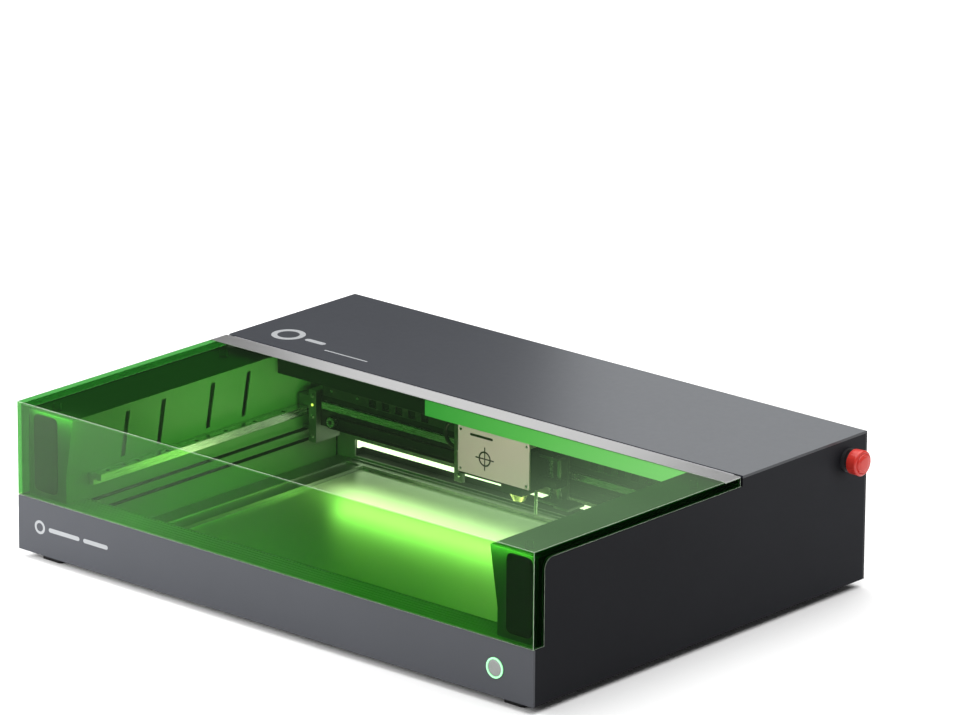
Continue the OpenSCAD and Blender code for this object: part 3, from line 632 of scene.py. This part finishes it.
def belt(name, node, spans, start, end, level, place, body):
    """A closed toothed belt round two pulleys, notched on its inside."""
    inner, outer, pitch, notch = 6.0, 7.4, 2.0, 0.6
    straight = end - start
    bend = math.pi * outer
    teeth = round((2 * straight + 2 * bend) / pitch)
    shape = Solid()
    for low, high in spans:
        loops = []
        for kind in ("out", "in"):
            loop = []
            for i in range(teeth * 4):
                s = (2 * straight + 2 * bend) * i / (teeth * 4)
                r = outer if kind == "out" else inner + (notch if i % 4 < 2 else 0.0)
                loop.append(along_loop(s, straight, bend, start, end, level, r))
            loops.append(loop)
        shape.band(loops[0], loops[1], lambda a, b, t: place(a, b, low + (high - low) * t))
    piece(name, shape.points, shape.faces, "belt_rubber", body, (node,), smooth=False)


def along_loop(s, straight, bend, start, end, level, r):
    """The point at s along a belt's loop, at r from the line between its two pulleys."""
    if s < straight:
        return (start + s, level + r)
    if s < straight + bend:
        turn = math.pi / 2 - math.pi * (s - straight) / bend
        return (end + r * math.cos(turn), level + r * math.sin(turn))
    if s < 2 * straight + bend:
        return (end - (s - straight - bend), level - r)
    turn = -math.pi / 2 - math.pi * (s - 2 * straight - bend) / bend
    return (start + r * math.cos(turn), level + r * math.sin(turn))


def belts():
    """The pair of belts that pull the gantry, and the one that pulls the head along it."""
    belt("y_belts_toothed", "y_belts", ((310.5, 316.5), (-316.5, -310.5)), -228, 218, 63.5,
         lambda a, b, t: at(t, a, b), "enclosure")
    belt("x_belt_toothed", "x_belt", ((109.3, 114.7),), -266, 266, 90,
         lambda a, b, t: at(a, t, b), "gantry")


def screw_heads(name, places, axis, r, height, material, body):
    """Button heads with a round socket, on a face whose outside is along the axis."""
    shape = Solid()
    for place in places:
        profile = [(0.01, 0), (r, 0), (r, height * 0.45), (r * 0.8, height * 0.9), (r * 0.5, height),
                   (r * 0.49, height * 0.5), (0.01, height * 0.5)]
        shape.lathe(profile, place, axis, 12)
    piece(name, shape.points, shape.faces, material, body)


def chain():
    """Links of the cable chain that lies in the gantry's tray."""
    first, pitch, count = -279, 14.0, 40
    level, front, depth = 125.2, 118.4, 14.6
    pin_front, pin_depth = 118.0, 15.6
    shape = Solid()
    for i in range(count):
        x = first + pitch * i
        link = pill(x + 6, level, 12.6, 10.4, 6)
        pin = circle(x + 12.6, level, 2.4, 16)
        shape.prism(link, lambda a, b, t: at(a, front + depth * t, b))
        shape.prism(pin, lambda a, b, t: at(a, pin_front + pin_depth * t, b))
    piece("cable_chain", shape.points, shape.faces, "black_plastic", "gantry")


def fan(name, node, body, centre, axis, hub, tip, depth, blades, low, high):
    """A hub with swept, twisted blades."""
    shape = Solid()
    shape.lathe([(0.01, low), (hub * 0.9, low), (hub, low + 0.6), (hub, high - 0.6), (hub * 0.9, high),
                 (0.01, high)], centre, axis, 40)
    steps, half_thick = 8, 0.35
    lean, root_pitch, twist = 0.35, 48, 18
    root = hub - 0.4
    middle = (low + high) / 2
    for k in range(blades):
        rows = []
        for i in range(steps + 1):
            f = i / steps
            r = root + (tip - root) * f
            sweep = 2 * math.pi * k / blades + lean * f * f
            half = depth * (0.75 + 0.35 * f) / 2
            pitch_turn = math.radians(root_pitch - twist * f)
            row = []
            for u, v in ((-half, -half_thick), (half, -half_thick), (half, half_thick), (-half, half_thick)):
                across = u * math.cos(pitch_turn) - v * math.sin(pitch_turn)
                along = u * math.sin(pitch_turn) + v * math.cos(pitch_turn)
                turn = sweep + across / r
                row.append(centre + on_axis(axis, r * math.cos(turn), r * math.sin(turn), middle + along))
            rows.append(row)
        shape.rings(rows)
    piece(name, shape.points, shape.faces, "black_plastic", body, (node,))


def wire_ring(shape, centre, axis, radius, wire, count=56, sides=8):
    """A round wire bent into a ring."""
    points = []
    for i in range(count):
        turn = 2 * math.pi * i / count
        for k in range(sides):
            bend = 2 * math.pi * k / sides
            r = radius + wire * math.cos(bend)
            along = wire * math.sin(bend)
            points.append(centre + on_axis(axis, r * math.cos(turn), r * math.sin(turn), along))
    faces = []
    for i in range(count):
        j = (i + 1) % count
        for k in range(sides):
            m = (k + 1) % sides
            faces.append((i * sides + k, j * sides + k, j * sides + m, i * sides + m))
    shape.add(points, faces)


def fan_guard():
    """Four wire rings on four spokes, in front of the exhaust fan."""
    centre = at(-215, 283, 105)
    wire, sides = 0.7, 8
    spoke_start, spoke_end, spoke_level = 8.5, 34.9, 1.2
    around = [2 * math.pi * i / sides for i in range(sides)]
    shape = Solid()
    for radius in (9, 17, 25, 33):
        wire_ring(shape, centre, "Y", radius, wire)
    for k in range(4):
        turn = math.pi / 4 + math.pi / 2 * k
        start, end = (centre + on_axis("Y", r * math.cos(turn), r * math.sin(turn), spoke_level)
                      for r in (spoke_start, spoke_end))
        side = (end - start).normalized().cross(Vector((0, 1, 0))) * wire * MM
        up = Vector((0, wire * MM, 0))
        shape.rings([[p + side * math.cos(a) + up * math.sin(a) for a in around] for p in (start, end)])
    piece("duct_guard", shape.points, shape.faces, "anodised_black", "enclosure")


def machine_screws():
    """Screw heads on the cover, the carriage, the gantry's end plates and the Y rails."""
    cover_screws = [at(x, COVER_Y, z) for x in (-31, 67) for z in (98, 144)]
    screw_heads("cover_screws", cover_screws, "Y", 1.7, -0.35, "rail_steel_x", "laser_module")
    plate_screws = [at(-62.5, 102, z) for z in (74, 104, 138)] + [at(-48, 102, 138)]
    screw_heads("carriage_screws", plate_screws, "Y", 2.2, -1.2, "rail_steel_x", "head")
    end_screws = [at(side * END_PLATE_X, END_PLATE_Y, z) for side in (-1, 1) for z in (68, 92, 117)]
    screw_heads("end_plate_screws", end_screws, "Y", 2.3, -1.4, "rail_steel_x", "gantry")
    rail_screws = [at(side * 306, -215 + 48 * i, 103) for side in (-1, 1) for i in range(9)]
    screw_heads("rail_screws", rail_screws, "Z", 2.6, 0.25, "anodised_black", "enclosure")


def casing_shade_caps():
    """Panels with round corners on the front ends of both casings: the outline is the casing's own, and
    their black is painted shade.
    """
    back = ends("inner_casings")[0][1]
    thickness = 0.9
    shape = Solid()
    for side in (-1, 1):
        outline = rounded(351, 124, 36, 90, 7)
        shape.rings([[at(side * x, y, z) for x, z in outline] for y in (back, back - thickness)])
    piece("casing_front_shade_caps", shape.points, shape.faces, "black_plastic", "enclosure")


def end_plate_led():
    """A small lit dome on the left end plate."""
    shape = Solid()
    dome = [(0.01, 0), (1.6, 0), (1.6, -0.5), (1.1, -0.9), (0.01, -1.0)]
    shape.lathe(dome, at(-END_PLATE_X, END_PLATE_Y, 106), "Y", 20)
    piece("end_plate_led", shape.points, shape.faces, "dot_glow", "gantry")


def tray_screws():
    places = [at(x, TRAY_Y, 125.5) for x in (-270, -230, 230, 270)]
    screw_heads("tray_screws", places, "Y", 1.8, -0.8, "rail_steel_x", "gantry")


marks()
estop()
power_button()
lead_screw()
belts()
chain()
fan("cooling_fan_blades", "module_fan", "cooling_fan", at(18, 87, 0), "Z", 6, 13, 4.4, 7, 139.5, 144.5)
fan("exhaust_fan_blades", "exhaust_rotor", "exhaust_fan", at(-215, 0, 105), "Y", 14, 34.5, 15, 7, 256, 271)
fan_guard()
machine_screws()
casing_shade_caps()
end_plate_led()
tray_screws()

# ---- Stage, light and camera ----

def stage_floor():
    mesh = bpy.data.meshes.new("floor")
    size = 14
    corners = [(-size, -size, 0), (size, -size, 0), (size, size, 0), (-size, size, 0)]
    mesh.from_pydata(corners, [], [(0, 1, 2, 3)])
    floor = bpy.data.objects.new("floor", mesh)
    bpy.context.scene.collection.objects.link(floor)
    g = Graph("floor_paper")
    g.put(g.bsdf.inputs["Base Color"], g.mix(g.noise(2, 2), (0.93, 0.93, 0.93, 1), (0.95, 0.95, 0.95, 1)))
    g.put(g.bsdf.inputs["Roughness"], 0.9)
    g.put(g.bsdf.inputs["Specular IOR Level"], 0.1)
    mesh.materials.append(g.mat)


def softbox(name, place, aim, size, power, colour=(1, 1, 1)):
    """A lamp with a flat rectangular face, turned to its aim."""
    data = bpy.data.lights.new(name, "AREA")
    data.shape = "RECTANGLE"
    data.size, data.size_y = size
    data.energy = power
    data.color = colour
    lamp = bpy.data.objects.new(name, data)
    bpy.context.scene.collection.objects.link(lamp)
    lamp.location = place
    lamp.rotation_euler = (Vector(aim) - Vector(place)).to_track_quat("-Z", "Y").to_euler()
    lamp.visible_camera = False
    return lamp


def only_for(lamp, *names):
    """The lamp lights these objects and no others."""
    group = bpy.data.collections.new(lamp.name + "_lights")
    for name in names:
        group.objects.link(NODES[name])
    lamp.light_linking.receiver_collection = group


# What the lamps under the lid light: the chamber's walls, rails and frame, or its bed.
WALLS = ("inner_casings", "rear_inner_wall", "front_sill", "y_rails", "bed_frame")
BED = ("bed_plate", "bed_frame")

# Name, place, aim, size in metres, power, colour, and the CAD nodes that the lamp lights.
LAMPS = (
    ("hood_sheen", at(-170, 1260, 640), at(280, 170, HOOD_TOP), (1.2, 0.55), 2.5,
     (0.95, 0.98, 1.0), ("hood",)),
    ("strip_sheen", at(-860, 1060, 600), at(0, 70, 177), (0.5, 0.5), 1.1,
     (1, 1, 1), ("hinge_strip",)),
    ("side_light", at(800, 480, 200), at(389, 250, 90), (0.3, 0.3), 2.2,
     (1, 1, 1), ("right_side_panel",)),
    ("left_wall_light", at(-120, -20, 150), at(-320, -30, 120), (0.26, 0.05), 0.42,
     (0.2, 1.0, 0.13), WALLS),
    ("front_light", at(0, -272.5, 177), at(0, -269, 100), (0.74, 0.006), 0.25,
     (0.3, 1.0, 0.25), WALLS),
    ("chamber_light", at(0, -110, 168), at(0, -110, BED_TOP), (0.5, 0.26), 0.08,
     (0.3, 1.0, 0.2), ("bed_plate",) + WALLS),
    ("tube_light", at(30, 90, 52), at(30, 84, BED_TOP), (0.54, 0.03), 0.46,
     (0.85, 1.0, 0.6), BED),
    ("bed_light", at(100, 60, 160), at(60, -40, BED_TOP), (0.46, 0.2), 0.2,
     (0.36, 1.0, 0.2), BED),
    ("cover_light", at(60, -160, 172), at(18, COVER_Y, 120), (0.1, 0.05), 0.95,
     (1.0, 0.58, 0.95), ("laser_cover",)),
)


def studio():
    """A dim white world, a key lamp with no mirror image, a wide lamp above and the lamps in LAMPS."""
    world = bpy.data.worlds.new("studio")
    bpy.context.scene.world = world
    world.use_nodes = True
    background = world.node_tree.nodes["Background"]
    background.inputs["Color"].default_value = (1, 1, 1, 1)
    background.inputs["Strength"].default_value = 0.12
    key = softbox("key", at(-1250, -1300, 700), at(-330, -280, 60), (0.7, 0.7), 38)
    key.visible_glossy = False
    softbox("overhead", (0.0, 1.0, 4.5), (0, 0.6, 0), (9, 9), 640)
    for name, place, aim, size, power, colour, lit in LAMPS:
        only_for(softbox(name, place, aim, size, power, colour), *lit)


def camera():
    """A long lens, far off at the front right and above, turned a little about its line of sight."""
    data = bpy.data.cameras.new("camera")
    data.sensor_width = 36
    data.lens = 260.6
    data.clip_end = 60
    cam = bpy.data.objects.new("camera", data)
    bpy.context.scene.collection.objects.link(cam)
    place = at(4918.7, -5533.2, 2580.9)
    aim = at(64.3, 0, 264.3)
    roll = math.radians(0.417)
    look = (aim - place).to_track_quat("-Z", "Y")
    cam.location = place
    cam.rotation_euler = (look.to_matrix() @ Matrix.Rotation(roll, 3, "Z")).to_euler()
    bpy.context.scene.camera = cam


stage_floor()
studio()
camera()
bpy.context.scene.view_settings.view_transform = "Standard"
